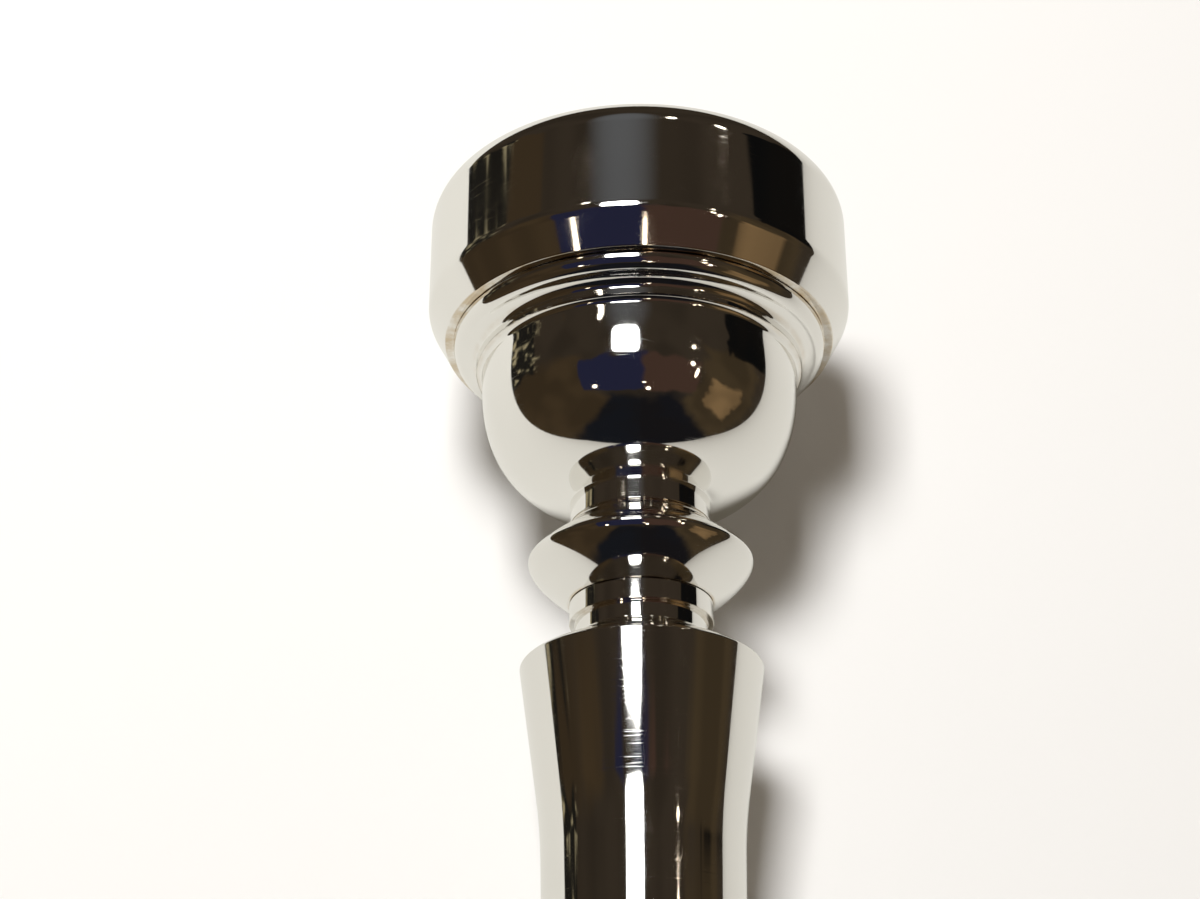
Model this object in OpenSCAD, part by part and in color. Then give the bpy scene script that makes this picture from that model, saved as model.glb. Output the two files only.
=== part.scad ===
// Three-piece trumpet mouthpiece, turned in brass and silver plated.
// Screw rim, cup with beaded neck, and stem with backbore and receiver taper.
// The axis lies along Y: stem end at the origin, rim towards +Y, +Z up. Millimetres.

/* [Rim] */
// Outside diameter of the rim
rim_d = 27; // [26:0.1:29]
// Inside diameter at the bite
rim_id = 16.5; // [15.5:0.05:17.25]
// Diameter of the crown's high point
rim_crown_d = 21.8; // [20:0.1:23]
// Height of the rounding from crown to outside face
rim_edge_h = 2.35; // [1.2:0.05:3]
// Height of the rounding from crown to bite
rim_bite_h = 1.4; // [0.8:0.05:2]
// Height of the plain outside face
rim_face_h = 6.1; // [5.5:0.05:9]
// Height of the tapered skirt
rim_skirt_h = 2.15; // [1.6:0.05:3]
// Diameter of the skirt's lower edge
rim_skirt_d = 24.7; // [24.2:0.1:25.6]
// Rounding where the face turns into the skirt
rim_skirt_round = 0.4; // [0.2:0.05:0.8]
// Depth of the threaded socket in the rim
rim_socket_h = 5.8; // [4.5:0.05:6.4]

/* [Cup outside] */
// Diameter of the ridge under the rim seam
ridge_d = 23.7; // [23.2:0.05:24.1]
// Height of the ridge
ridge_h = 0.98; // [0.6:0.02:1.4]
// Diameter of the ridge's lower edge
ridge_low_d = 22.4; // [21.6:0.1:23]
// Height of the cove below the ridge
cove_h = 0.62; // [0.4:0.02:1]
// Diameter of the small bead round the cup's top
cup_bead_d = 20.64; // [20.2:0.02:21.4]
// Height of the small bead
cup_bead_h = 0.4; // [0.2:0.02:0.8]
// Diameter of the cup's wall
cup_d = 19.9; // [19.2:0.05:20.1]
// Height of the cove between small bead and wall
cup_cove_h = 0.4; // [0.2:0.02:0.8]
// Height of the straight wall above the bowl
cup_wall_h = 0.25; // [0.1:0.05:2]
// Height of the rounded bowl
cup_bowl_h = 8.1; // [7:0.05:10]
// Fullness of the bowl, 2 is an ellipse
cup_bowl_power = 2.15; // [2:0.05:2.6]

/* [Neck and bead] */
// Diameter of the neck collars
collar_d = 8.7; // [8.4:0.05:9]
// Length of the collar under the bowl
neck_collar_h = 1.6; // [1:0.05:3]
// Depth of the fine line at the foot of each collar
line_depth = 0.13; // [0.05:0.01:0.2]
// Width of that line
line_h = 0.15; // [0.1:0.01:0.3]
// Length of the flare into the bead
bead_flare_h = 2.35; // [2:0.05:3.5]
// Diameter of the bead
bead_d = 13.64; // [12.4:0.02:14.6]
// Height of the bead's rounded edge
bead_edge_h = 0.75; // [0.5:0.05:1.2]
// Depth of the bead's rounded edge
bead_edge_depth = 0.25; // [0.15:0.05:0.4]
// Height of the cone under the bead
bead_cone_h = 2.1; // [1.6:0.05:3]
// Diameter at the foot of that cone
bead_foot_d = 9; // [8.8:0.05:9.6]

/* [Air way] */
// Depth of the cup, from the crown to the bowl's floor
cup_depth = 12.4; // [11:0.1:13.6]
// Narrowing of the cup from the bite to the screw joint, on the radius
cup_draft = 0.2; // [0.1:0.02:0.4]
// Diameter of the bowl's floor, where it turns into the throat
cup_floor_d = 5.8; // [4.6:0.1:7]
// Length of the rounded way from the bowl's floor into the throat
throat_entry_h = 4.6; // [2:0.1:6]
// Diameter of the throat
throat_d = 3.66; // [3.4:0.02:3.9]
// Length of the throat below the stem joint
throat_tail_h = 4.8; // [1:0.1:8]
// Diameter of the backbore at the stem's end
backbore_d = 8.4; // [7.8:0.1:8.7]
// Share of the backbore's widening at the corner that its curve leans on
backbore_early = 0.43; // [0.3:0.01:0.6]
// Share of the backbore's length, from the throat, at that corner
backbore_lead = 0.28; // [0.2:0.01:0.5]

/* [Stem] */
// Length of the collar under the bead
stem_collar_h = 1.2; // [0.8:0.05:2.5]
// Length of the flare into the shoulder
shoulder_flare_h = 2.4; // [2:0.05:3.5]
// Diameter of the shoulder
shoulder_d = 14.54; // [13.6:0.02:15.4]
// Height of the shoulder's rounded edge
shoulder_edge_h = 0.75; // [0.4:0.05:1.2]
// Depth of the shoulder's rounded edge
shoulder_edge_depth = 0.55; // [0.3:0.05:0.9]
// Length of the tapered body below the shoulder
body_h = 7.8; // [5:0.1:12]
// Diameter at the foot of the tapered body
body_foot_d = 12.34; // [12.1:0.02:12.8]
// Length of the hollow blend between body and shank
blend_h = 3.4; // [2:0.1:6]
// Length of the shank
shank_h = 42.8; // [34:0.1:50]
// Diameter of the shank at its top
shank_top_d = 11.8; // [11.6:0.02:12]
// Diameter of the shank at its end
shank_end_d = 9.75; // [9.5:0.01:10]
// Chamfer on the shank's end
shank_break = 0.15; // [0.1:0.05:0.25]

/* [Screw joints] */
// Diameter over the rim thread
rim_thread_d = 21.7; // [21.2:0.05:22.2]
// Diameter over the stem thread
stem_thread_d = 6.5; // [6.3:0.05:6.8]
// Depth of the threaded socket in the bead
stem_socket_h = 4.2; // [3.6:0.05:4.5]
// Thickness of the rim's seal ring
rim_seal_t = 1; // [0.8:0.02:1.2]
// Thickness of the stem's seal ring
stem_seal_t = 0.95; // [0.8:0.02:1.05]
// Step from the rim socket out to its seal chamber
rim_seal_step = 0.35; // [0.25:0.01:0.45]
// Step from the stem socket out to its seal chamber
stem_seal_step = 0.45; // [0.35:0.01:0.5]
// Radial clearance between the threads
thread_clear = 0.05; // [0.02:0.01:0.1]
// Clearance all round a seal ring
seal_clear = 0.03; // [0.02:0.01:0.06]
// Chamfer that leads each spigot into its socket
spigot_lead = 0.3; // [0.1:0.05:0.5]
// Side play of a seal ring in its groove
seal_play = 0.15; // [0.1:0.01:0.2]
// Open seam left outside when a joint is tight
seam_gap = 0.1; // [0.05:0.01:0.15]

/* [Hidden] */
$fn = 96;
arc_steps = 10;
bowl_steps = 28;
// Share of a flare's height over which it still follows the collar
flare_hold = 0.4;
plate = [0.85, 0.84, 0.81];
nitrile = [0.07, 0.07, 0.07];

// Heights along the axis, from the stem's end upwards
shank_top = shank_h;
body_foot = shank_top + blend_h;
shoulder_low = body_foot + body_h;
shoulder_top = shoulder_low + shoulder_edge_h;
stem_flare_top = shoulder_top + shoulder_flare_h;
stem_collar_foot = stem_flare_top + line_h;
stem_top = stem_collar_foot + stem_collar_h;
cup_foot = stem_top + seam_gap;
bead_edge_foot = cup_foot + bead_cone_h;
bead_edge_top = bead_edge_foot + bead_edge_h;
neck_flare_top = bead_edge_top + bead_flare_h;
neck_collar_foot = neck_flare_top + line_h;
bowl_foot = neck_collar_foot + neck_collar_h;
bowl_top = bowl_foot + cup_bowl_h;
wall_top = bowl_top + cup_wall_h;
cup_bead_foot = wall_top + cup_cove_h;
cup_bead_top = cup_bead_foot + cup_bead_h;
ridge_foot = cup_bead_top + cove_h;
cup_shoulder = ridge_foot + ridge_h;
rim_foot = cup_shoulder + seam_gap;
rim_face_foot = rim_foot + rim_skirt_h;
rim_face_top = rim_face_foot + rim_face_h;
rim_top = rim_face_top + rim_edge_h;

// Radii of the outside
rim_r = rim_d / 2;
collar_r = collar_d / 2;
line_r = collar_r - line_depth;
bead_edge_r = bead_d / 2 - bead_edge_depth;
shoulder_r = shoulder_d / 2;
shoulder_edge_r = shoulder_r - shoulder_edge_depth;
shank_end_r = shank_end_d / 2;

// Rim joint: the spigot's top face seats at the bottom of the rim's socket
rim_spigot_r = rim_thread_d / 2;
rim_socket_r = rim_spigot_r + thread_clear;
rim_seat = rim_foot + rim_socket_h;
rim_chamber_r = rim_socket_r + rim_seal_step;
rim_seal_r = rim_chamber_r - seal_clear - rim_seal_t / 2;
rim_groove_r = rim_seal_r - rim_seal_t / 2 - seal_clear;
rim_groove_top = cup_shoulder + rim_seal_t + 2 * seal_play;
rim_chamber_top = rim_groove_top + seal_play;

// Stem joint: the spigot's end face seats at the bottom of the bead's socket
stem_spigot_r = stem_thread_d / 2;
stem_socket_r = stem_spigot_r + thread_clear;
stem_seat = cup_foot + stem_socket_h;
stem_chamber_r = stem_socket_r + stem_seal_step;
stem_seal_r = stem_chamber_r - seal_clear - stem_seal_t / 2;
stem_groove_r = stem_seal_r - stem_seal_t / 2 - seal_clear;
stem_groove_top = stem_top + stem_seal_t + 2 * seal_play;
stem_chamber_top = stem_groove_top + seal_play;

// Air way
throat_r = throat_d / 2;
bite_r = rim_id / 2;
cup_mouth_r = bite_r - cup_draft;
cup_floor = rim_top - cup_depth;
throat_top = cup_floor - throat_entry_h;
throat_foot = stem_seat - throat_tail_h;
backbore_r = backbore_d / 2;
backbore_corner = [throat_r + (backbore_r - throat_r) * backbore_early,
                   throat_foot * (1 - backbore_lead)];

// Quarter of an ellipse from p to q that leaves p along the axis and meets q square to it
function round_in(p, q) = [for (i = [0:arc_steps]) let (a = 90 * i / arc_steps)
    [p.x + (q.x - p.x) * (1 - cos(a)), p.y + (q.y - p.y) * sin(a)]];

// The same quarter the other way about: it leaves p square to the axis and meets q along it
function round_out(p, q) = [for (i = [0:arc_steps]) let (a = 90 * i / arc_steps)
    [p.x + (q.x - p.x) * sin(a), p.y + (q.y - p.y) * (1 - cos(a))]];

// Smooth curve from p to q that heads for the corner c at both ends
function fair(p, c, q) = [for (i = [0:arc_steps]) let (u = i / arc_steps)
    (1 - u) * (1 - u) * p + 2 * u * (1 - u) * c + u * u * q];

// Full round of a bowl from its wall p down to its foot q
function bowl(p, q, power) = [for (i = [0:bowl_steps]) let (a = 90 * i / bowl_steps)
    [q.x + (p.x - q.x) * pow(cos(a), 2 / power), p.y + (q.y - p.y) * pow(sin(a), 2 / power)]];

// Point on the line from p to q at the given distance from p
function along(p, q, distance) = p + (q - p) * distance / norm(q - p);

// A half section, given as radius and height, turned and laid along +Y
module turned(section) {
    rotate([-90, 0, 0]) rotate_extrude() polygon(section);
}

module seal_ring(ring_r, thickness, height) {
    rotate([-90, 0, 0]) translate([0, 0, height]) rotate_extrude()
        translate([ring_r, 0]) circle(d = thickness, $fn = 32);
}

// Collar from its top down: the fine line cut at its foot, then the flare out to the edge point
function flared_collar(line_foot, flare_h, edge) = concat(
    [[collar_r, line_foot + line_h], [line_r, line_foot + line_h], [line_r, line_foot]],
    fair([collar_r, line_foot], [collar_r, line_foot - flare_h * flare_hold], edge));

module rim() {
    crown = [rim_crown_d / 2, rim_top];
    corner = [rim_r, rim_face_foot];
    skirt_edge = [rim_skirt_d / 2, rim_foot];
    color(plate) turned(concat(
        [[cup_mouth_r, rim_seat]],
        round_in([bite_r, rim_top - rim_bite_h], crown),
        round_out(crown, [rim_r, rim_face_top]),
        fair(corner + [0, rim_skirt_round], corner, along(corner, skirt_edge, rim_skirt_round)),
        [skirt_edge, [rim_chamber_r, rim_foot], [rim_chamber_r, rim_chamber_top],
         [rim_socket_r, rim_chamber_top], [rim_socket_r, rim_seat]]));
}

module rim_o_ring() {
    color(nitrile) seal_ring(rim_seal_r, rim_seal_t, cup_shoulder + seal_play + rim_seal_t / 2);
}

module cup() {
    floor_edge = [cup_floor_d / 2, cup_floor];
    bead_edge = [bead_edge_r, bead_edge_top];
    bead_widest = [bead_d / 2, bead_edge_top - bead_edge_h / 2];
    color(plate) turned(concat(
        [[rim_spigot_r - spigot_lead, rim_seat], [rim_spigot_r, rim_seat - spigot_lead],
         [rim_spigot_r, rim_groove_top], [rim_groove_r, rim_groove_top], [rim_groove_r, cup_shoulder]],
        round_in([ridge_d / 2, cup_shoulder], [ridge_low_d / 2, ridge_foot]),
        round_out([ridge_low_d / 2, ridge_foot], [cup_bead_d / 2, cup_bead_top]),
        round_out([cup_bead_d / 2, cup_bead_foot], [cup_d / 2, wall_top]),
        bowl([cup_d / 2, bowl_top], [collar_r, bowl_foot], cup_bowl_power),
        flared_collar(neck_flare_top, bead_flare_h, bead_edge),
        round_out(bead_edge, bead_widest),
        round_in(bead_widest, [bead_edge_r, bead_edge_foot]),
        [[bead_foot_d / 2, cup_foot], [stem_chamber_r, cup_foot], [stem_chamber_r, stem_chamber_top],
         [stem_socket_r, stem_chamber_top], [stem_socket_r, stem_seat], [throat_r, stem_seat]],
        round_in([throat_r, throat_top], floor_edge),
        round_out(floor_edge, [cup_mouth_r, rim_seat])));
}

module stem_o_ring() {
    color(nitrile) seal_ring(stem_seal_r, stem_seal_t, stem_top + seal_play + stem_seal_t / 2);
}

module stem() {
    shoulder_edge = [shoulder_edge_r, shoulder_top];
    shank_slope = (shank_top_d / 2 - shank_end_r) / shank_h;
    blend_corner = [shank_top_d / 2 + shank_slope * blend_h / 2, shank_top + blend_h / 2];
    color(plate) turned(concat(
        [[stem_spigot_r - spigot_lead, stem_seat], [stem_spigot_r, stem_seat - spigot_lead],
         [stem_spigot_r, stem_groove_top], [stem_groove_r, stem_groove_top], [stem_groove_r, stem_top],
         [collar_r, stem_top]],
        flared_collar(stem_flare_top, shoulder_flare_h, shoulder_edge),
        round_out(shoulder_edge, [shoulder_r, shoulder_low]),
        fair([body_foot_d / 2, body_foot], blend_corner, [shank_top_d / 2, shank_top]),
        [[shank_end_r, shank_break], [shank_end_r - shank_break, 0]],
        fair([backbore_r, 0], backbore_corner, [throat_r, throat_foot]),
        [[throat_r, stem_seat]]));
}

rim();
rim_o_ring();
cup();
stem_o_ring();
stem();
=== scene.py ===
"""Looks of a silver-plated trumpet mouthpiece that screws apart into rim, cup and stem.

Each metal piece is half of its section, drawn as a chain of edges, rounded at its crisp corners and spun
about the Y axis; the screw threads are then raised on its walls. The seal rings are tori with mould lines.
"""

import math
from collections import namedtuple

import bpy
from bpy.props import FloatProperty, FloatVectorProperty, PointerProperty
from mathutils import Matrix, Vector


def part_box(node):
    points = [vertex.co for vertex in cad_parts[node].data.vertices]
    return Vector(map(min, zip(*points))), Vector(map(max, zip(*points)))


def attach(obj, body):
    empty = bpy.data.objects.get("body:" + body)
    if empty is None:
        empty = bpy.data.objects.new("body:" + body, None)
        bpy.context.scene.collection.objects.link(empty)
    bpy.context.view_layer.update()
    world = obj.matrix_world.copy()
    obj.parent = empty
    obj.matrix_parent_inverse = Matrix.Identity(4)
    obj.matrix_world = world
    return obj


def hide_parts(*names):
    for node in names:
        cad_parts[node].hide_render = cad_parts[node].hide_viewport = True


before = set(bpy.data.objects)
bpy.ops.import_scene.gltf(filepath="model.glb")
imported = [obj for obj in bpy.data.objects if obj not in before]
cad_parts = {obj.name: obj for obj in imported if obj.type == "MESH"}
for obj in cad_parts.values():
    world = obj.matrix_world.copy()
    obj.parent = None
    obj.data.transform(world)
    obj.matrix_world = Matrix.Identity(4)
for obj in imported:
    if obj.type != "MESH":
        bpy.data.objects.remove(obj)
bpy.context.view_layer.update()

bl_info = {
    "name": "Trumpet mouthpiece",
    "version": (1, 0, 0),
    "blender": (4, 5, 0),
    "location": "View3D > Sidebar > Mouthpiece",
    "description": "Builds a silver-plated trumpet mouthpiece with a screw rim, cup and stem",
    "category": "Add Mesh",
}

MM = 0.001
RIM_LOW, RIM_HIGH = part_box("rim")
CUP_LOW, CUP_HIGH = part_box("cup")
STEM_LOW, STEM_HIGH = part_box("stem")

# Fineness of the meshes
SPIN_STEPS = 192
ARC_STEPS = 22
BOWL_STEPS = 60
ROWS_PER_PITCH = 16
CRISP_TURN = math.radians(25)
CRISP_SEGMENTS = 4
SMOOTH_ANGLE = math.radians(35)
MERGE_GAP = 0.0001 * MM
RING_STEPS = 160
RING_SIDES = 40
# Support points lie this many edge roundings from a corner, on runs this many times longer than that
SUPPORT = 1.5
LONG_RUN = 6
# Share of each half of a flare's height at which the corner of its curve lies
FLARE_HOLD = 0.2
# Half the width of a mould line, in heights of that line
MOULD_SPREAD = 1.5

# How near a face lies to a wall that it belongs to, to a level, and to the bore of its piece
TOUCH = 0.01 * MM
NEAR = 0.1 * MM
CLOSE = 1 * MM


def length(name, description, millimetres):
    """Size of the object, shown in the scene's units."""
    return FloatProperty(name=name, description=description, default=millimetres * MM,
                         unit="LENGTH", precision=5)


def place(name, description, millimetres):
    """Point in the frame, shown in the scene's units."""
    return FloatVectorProperty(name=name, description=description, size=3, subtype="TRANSLATION",
                               unit="LENGTH", default=[part * MM for part in millimetres])


def share(name, description, value):
    """Plain number from 0 to 1."""
    return FloatProperty(name=name, description=description, default=value, min=0, max=1,
                         subtype="FACTOR")


def number(name, description, value):
    """Plain positive number."""
    return FloatProperty(name=name, description=description, default=value, min=0)


def colour(name, description, value):
    """Colour without alpha."""
    return FloatVectorProperty(name=name, description=description, default=value, min=0, max=1,
                               size=3, subtype="COLOR")


class MOUTHPIECE_PG_rim(bpy.types.PropertyGroup):
    """Sizes of the rim."""
    outside_d: length("Outside diameter", "Diameter of the rim's plain face", 27)
    bite_d: length("Bite diameter", "Inside diameter at the bite", 16.5)
    crown_d: length("Crown diameter", "Diameter of the crown's high point", 21.8)
    edge_h: length("Edge height", "Height of the rounding from crown to outside face", 2.35)
    bite_h: length("Bite height", "Height of the rounding from crown to bite", 1.4)
    face_h: length("Face height", "Height of the plain outside face", 6.1)
    skirt_d: length("Skirt diameter", "Diameter of the skirt's lower edge", 24.7)
    skirt_round: length("Skirt rounding", "Rounding where the face turns into the skirt", 0.4)


class MOUTHPIECE_PG_cup(bpy.types.PropertyGroup):
    """Sizes of the cup, its neck and its bead."""
    ridge_d: length("Ridge diameter", "Diameter of the ridge under the rim seam", 23.7)
    ridge_h: length("Ridge height", "Height of the ridge", 0.98)
    ridge_low_d: length("Ridge foot", "Diameter of the ridge's lower edge", 22.4)
    cove_h: length("Cove height", "Height of the cove below the ridge", 0.62)
    line_bead_d: length("Small bead diameter", "Diameter of the small bead round the cup's top", 20.64)
    line_bead_h: length("Small bead height", "Height of the small bead", 0.4)
    wall_d: length("Wall diameter", "Diameter of the cup's wall", 19.9)
    wall_cove_h: length("Wall cove height", "Height of the cove between small bead and wall", 0.4)
    wall_h: length("Wall height", "Height of the straight wall above the bowl", 0.25)
    bowl_h: length("Bowl height", "Height of the round bowl, down to where it would close", 8.9)
    bowl_power: number("Bowl fullness", "Fullness of the bowl, 2 is an ellipse", 2.5)
    collar_d: length("Collar diameter", "Diameter of the collars under the bowl and the bead", 8.7)
    collar_h: length("Collar length", "Length of the collar under the bowl", 1.5)
    line_depth: length("Line depth", "Depth of the fine line at the foot of that collar", 0.13)
    line_h: length("Line width", "Width of the fine line", 0.12)
    flare_h: length("Flare length", "Length of the flare from the collar out to the bead", 2.35)
    bead_d: length("Bead diameter", "Diameter of the bead", 13.72)
    bead_round_h: length("Bead rounding", "Height of the rounding below the bead's widest point", 0.8)
    bead_foot_d: length("Bead foot", "Diameter at the foot of the cone under the bead", 8.8)
    depth: length("Cup depth", "Depth of the cup, from the crown to the bowl's floor", 12.4)
    draft: length("Cup draft", "Narrowing of the cup from the bite to the screw joint", 0.2)
    floor_d: length("Floor diameter", "Diameter of the bowl's floor", 5.8)
    entry_h: length("Throat entry", "Length of the rounded way from floor to throat", 4.6)
    throat_d: length("Throat diameter", "Diameter of the throat", 3.66)


class MOUTHPIECE_PG_stem(bpy.types.PropertyGroup):
    """Sizes of the stem."""
    collar_h: length("Collar length", "Length of the collar under the bead", 1.25)
    neck_d: length("Neck diameter", "Diameter of the neck below that collar", 8)
    neck_h: length("Neck length", "Length of that neck", 1)
    flare_h: length("Flare length", "Length of the flare from the neck out to the shoulder", 2)
    shoulder_d: length("Shoulder diameter", "Diameter of the shoulder", 14.54)
    body_h: length("Body length", "Length of the tapered body below the shoulder", 8)
    body_foot_d: length("Body foot", "Diameter at the foot of the tapered body", 12.34)
    blend_h: length("Blend length", "Length of the hollow blend between body and shank", 3.4)
    shank_top_d: length("Shank top", "Diameter of the shank at its top", 11.8)
    shank_end_d: length("Shank end", "Diameter of the shank at its end", 9.75)
    end_break: length("End chamfer", "Chamfer on the shank's end", 0.15)
    throat_tail_h: length("Throat tail", "Length of the throat below the stem joint", 4.8)
    backbore_d: length("Backbore", "Diameter of the backbore at the stem's end", 8.4)
    backbore_early: share("Early widening", "Share of the widening at the backbore's corner", 0.43)
    backbore_lead: share("Backbore corner", "Share of the backbore's length at its corner", 0.28)


class MOUTHPIECE_PG_joints(bpy.types.PropertyGroup):
    """Sizes of the two screw joints and their seals."""
    rim_thread_d: length("Rim thread", "Diameter over the rim thread", 21.7)
    rim_pitch: length("Rim pitch", "Travel of the rim in one turn", 0.8)
    rim_tooth: length("Rim tooth", "Height of the rim thread's tooth", 0.4)
    rim_chamber_d: length("Rim chamber", "Diameter of the rim's seal chamber", 22.5)
    rim_groove_d: length("Rim groove", "Diameter of the seal groove under the rim", 20.38)
    rim_groove_h: length("Rim groove width", "Width of that groove", 1.3)
    stem_thread_d: length("Stem thread", "Diameter over the stem thread", 6.5)
    stem_pitch: length("Stem pitch", "Travel of the cup on the stem in one turn", 0.75)
    stem_tooth: length("Stem tooth", "Height of the stem thread's tooth", 0.35)
    stem_chamber_d: length("Stem chamber", "Diameter of the cup's seal chamber", 7.5)
    stem_groove_d: length("Stem groove", "Diameter of the seal groove on the stem", 5.48)
    stem_groove_h: length("Stem groove width", "Width of that groove", 1.25)
    chamber_more: length("Chamber depth", "How far a seal chamber reaches past its groove", 0.15)
    clear: length("Thread clearance", "Radial clearance between the threads", 0.05)
    lead: length("Spigot lead", "Chamfer that leads each spigot into its socket", 0.3)
    seam: length("Seam", "Open seam left outside when a joint is tight", 0.05)
    mould_line: length("Mould line", "Height of the mould line round a seal ring", 0.012)


class MOUTHPIECE_PG_finish(bpy.types.PropertyGroup):
    """Colours and wear of the surfaces."""
    edge_round: length("Edge rounding", "Rounding that polishing leaves on crisp edges", 0.035)
    silver: colour("Silver", "Colour of the polished plate", (0.87, 0.86, 0.83))
    tarnish: colour("Tarnish", "Colour of the tarnish in seams and lines", (0.60, 0.49, 0.34))
    rubber: colour("Rubber", "Colour of the seal rings", (0.02, 0.02, 0.021))
    gloss: share("Roughness", "Roughness of the polished plate", 0.045)
    bore_gloss: share("Bore roughness", "Roughness of the reamed bore", 0.2)


class MOUTHPIECE_PG_stage(bpy.types.PropertyGroup):
    """Table, light and camera."""
    table: colour("Table", "Colour of the table", (0.9, 0.89, 0.87))
    # Painted shade: the table as the metal shows it, painted darker than the table to stand in for the
    # shade that the part casts near it
    mirrored: colour("Mirrored table", "Colour of the table as the metal shows it", (0.71, 0.705, 0.665))
    backdrop: colour("Backdrop", "Colour behind the table", (0.93, 0.925, 0.91))
    room: colour("Room", "Colour of the dim room in reflections", (0.036, 0.027, 0.0185))
    ambient: colour("Ambient", "Light from all round that fills the shadows", (0.165, 0.138, 0.11))
    panel_power: number("Panel power", "Power of the ceiling panel, in watts", 1.66)
    panel_place: place("Panel place", "Middle of the ceiling panel", (-72, 176, 360))
    panel_wide: length("Panel width", "Width of the ceiling panel", 112)
    panel_long: length("Panel length", "Length of the ceiling panel", 128)
    camera_place: place("Camera place", "Place of the camera", (-2.487, 6.52, 122.46))
    camera_tilt: FloatProperty(name="Camera tilt", description="Tilt of the camera from straight down",
                               default=math.radians(27.1), subtype="ANGLE")
    lens: FloatProperty(name="Lens", description="Focal length of the camera", default=66,
                        unit="CAMERA")


class MOUTHPIECE_PG_all(bpy.types.PropertyGroup):
    """All settings of the mouthpiece."""
    rim: PointerProperty(type=MOUTHPIECE_PG_rim)
    cup: PointerProperty(type=MOUTHPIECE_PG_cup)
    stem: PointerProperty(type=MOUTHPIECE_PG_stem)
    joints: PointerProperty(type=MOUTHPIECE_PG_joints)
    finish: PointerProperty(type=MOUTHPIECE_PG_finish)
    stage: PointerProperty(type=MOUTHPIECE_PG_stage)


# Half sections: points are (radius, height along the axis)

def round_in(start, end):
    """Quarter of an ellipse that leaves start along the axis and meets end square to it."""
    angles = [math.pi / 2 * step / ARC_STEPS for step in range(ARC_STEPS + 1)]
    return [(start[0] + (end[0] - start[0]) * (1 - math.cos(angle)),
             start[1] + (end[1] - start[1]) * math.sin(angle)) for angle in angles]


def round_out(start, end):
    """Quarter of an ellipse that leaves start square to the axis and meets end along it."""
    return round_in(end, start)[::-1]


def fair(start, corner, end):
    """Smooth curve from start to end that heads for the corner at both ends."""
    points = []
    for step in range(ARC_STEPS + 1):
        part = step / ARC_STEPS
        weights = ((1 - part) ** 2, 2 * part * (1 - part), part ** 2)
        points.append(tuple(sum(w * p[axis] for w, p in zip(weights, (start, corner, end)))
                            for axis in (0, 1)))
    return points


def bowl(wall, foot_r, height, power):
    """Round of a bowl from its wall down to where a collar of the given radius cuts it off."""
    last = math.acos((foot_r / wall[0]) ** (power / 2))
    angles = [last * step / BOWL_STEPS for step in range(BOWL_STEPS + 1)]
    return [(wall[0] * math.cos(angle) ** (2 / power),
             wall[1] - height * math.sin(angle) ** (2 / power)) for angle in angles]


def between(start, end, part):
    """Point on the line from start to end."""
    return tuple(a + (b - a) * part for a, b in zip(start, end))


def threaded(start, end, pitch):
    """Straight wall with enough rows to raise a thread on it."""
    rows = round(math.dist(start, end) / pitch * ROWS_PER_PITCH)
    return [between(start, end, row / rows) for row in range(rows + 1)]


def flare(neck, widest):
    """Flare from a neck out to the widest point: hollow, then round, along the axis at both ends."""
    middle = between(neck, widest, 0.5)
    hold = FLARE_HOLD * (middle[1] - neck[1])
    return [*fair(neck, (neck[0], neck[1] + hold), middle),
            *fair(middle, (widest[0], widest[1] - hold), widest)]


def without_repeats(points):
    """The outline with each point once."""
    return [here for here, last in zip(points, points[-1:] + points[:-1])
            if math.dist(here, last) > MERGE_GAP]


def with_support(points, hold):
    """The outline with a point near both ends of each long straight run, which keeps it straight."""
    outline = []
    for here, there in zip(points, points[1:] + points[:1]):
        outline.append(here)
        run = math.dist(here, there)
        if run > LONG_RUN * hold:
            outline += [between(here, there, hold / run), between(here, there, 1 - hold / run)]
    return outline


def turn_at(before, here, after):
    """Angle by which the outline turns at a point."""
    first = math.atan2(here[1] - before[1], here[0] - before[0])
    second = math.atan2(after[1] - here[1], after[0] - here[0])
    return abs(math.remainder(second - first, math.tau))


# Modelling steps

def deselect_all():
    """Leaves nothing selected, as the frame's nodes come in selected."""
    if bpy.context.object and bpy.context.object.mode != "OBJECT":
        bpy.ops.object.mode_set(mode="OBJECT")
    bpy.ops.object.select_all(action="DESELECT")


def select_only(mesh, vertices=(), faces=()):
    """Selects these vertices or faces of a mesh in object mode."""
    for part in (mesh.vertices, mesh.edges, mesh.polygons):
        part.foreach_set("select", [False] * len(part))
    for index in vertices:
        mesh.vertices[index].select = True
    for index in faces:
        mesh.polygons[index].select = True


def drawn_chain(name, outline):
    """New mesh object whose edges follow the closed outline, one extrusion for each point."""
    deselect_all()
    bpy.ops.mesh.primitive_plane_add(size=MM, location=(*outline[0], 0))
    piece = bpy.context.object
    piece.name = piece.data.name = name
    bpy.ops.object.transform_apply(location=True)
    bpy.ops.object.mode_set(mode="EDIT")
    bpy.ops.mesh.merge(type="CENTER")
    for here, there in zip(outline, outline[1:]):
        bpy.ops.mesh.extrude_region_move(
            TRANSFORM_OT_translate={"value": (there[0] - here[0], there[1] - here[1], 0)})
    bpy.ops.object.mode_set(mode="OBJECT")
    select_only(piece.data, vertices=(0, len(outline) - 1))
    bpy.ops.object.mode_set(mode="EDIT")
    bpy.ops.mesh.edge_face_add()
    bpy.ops.object.mode_set(mode="OBJECT")
    return piece


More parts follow.
